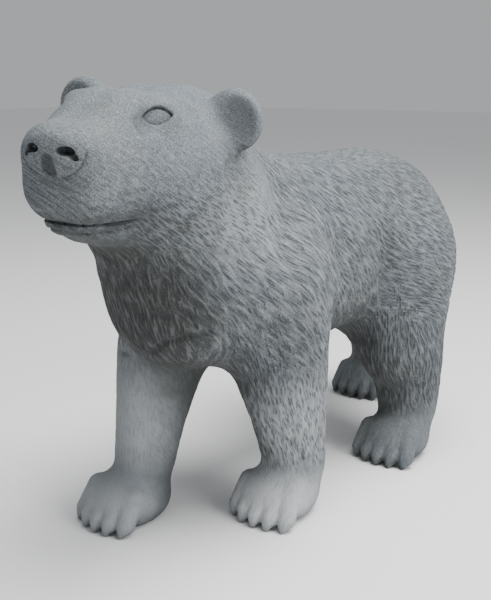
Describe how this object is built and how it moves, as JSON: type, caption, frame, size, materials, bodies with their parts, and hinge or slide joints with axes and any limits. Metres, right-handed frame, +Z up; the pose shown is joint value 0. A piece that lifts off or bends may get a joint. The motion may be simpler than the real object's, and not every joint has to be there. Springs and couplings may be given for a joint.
{
  "type": "polar bear sculpture",
  "caption": "Walking polar bear carved in granite, one solid standing on its four paws, head raised and turned to its left, blunt muzzle and round ears.",
  "frame": {"origin": "middle of the bounding box at ground level, under the soles of the four paws", "axes": "+Z up, -Y the way the bear walks (head end), +Y the rump, +X the bear's left"},
  "size_m": [0.4078, 1.2488, 0.7659],
  "materials": {
    "granite": "bluish-grey fine-grained granite, chiselled fur strokes on the body, bush-hammered face and smoother paws, no polish"
  },
  "bodies": {
    "root": {"bear": "granite"}
  },
  "joints": []
}
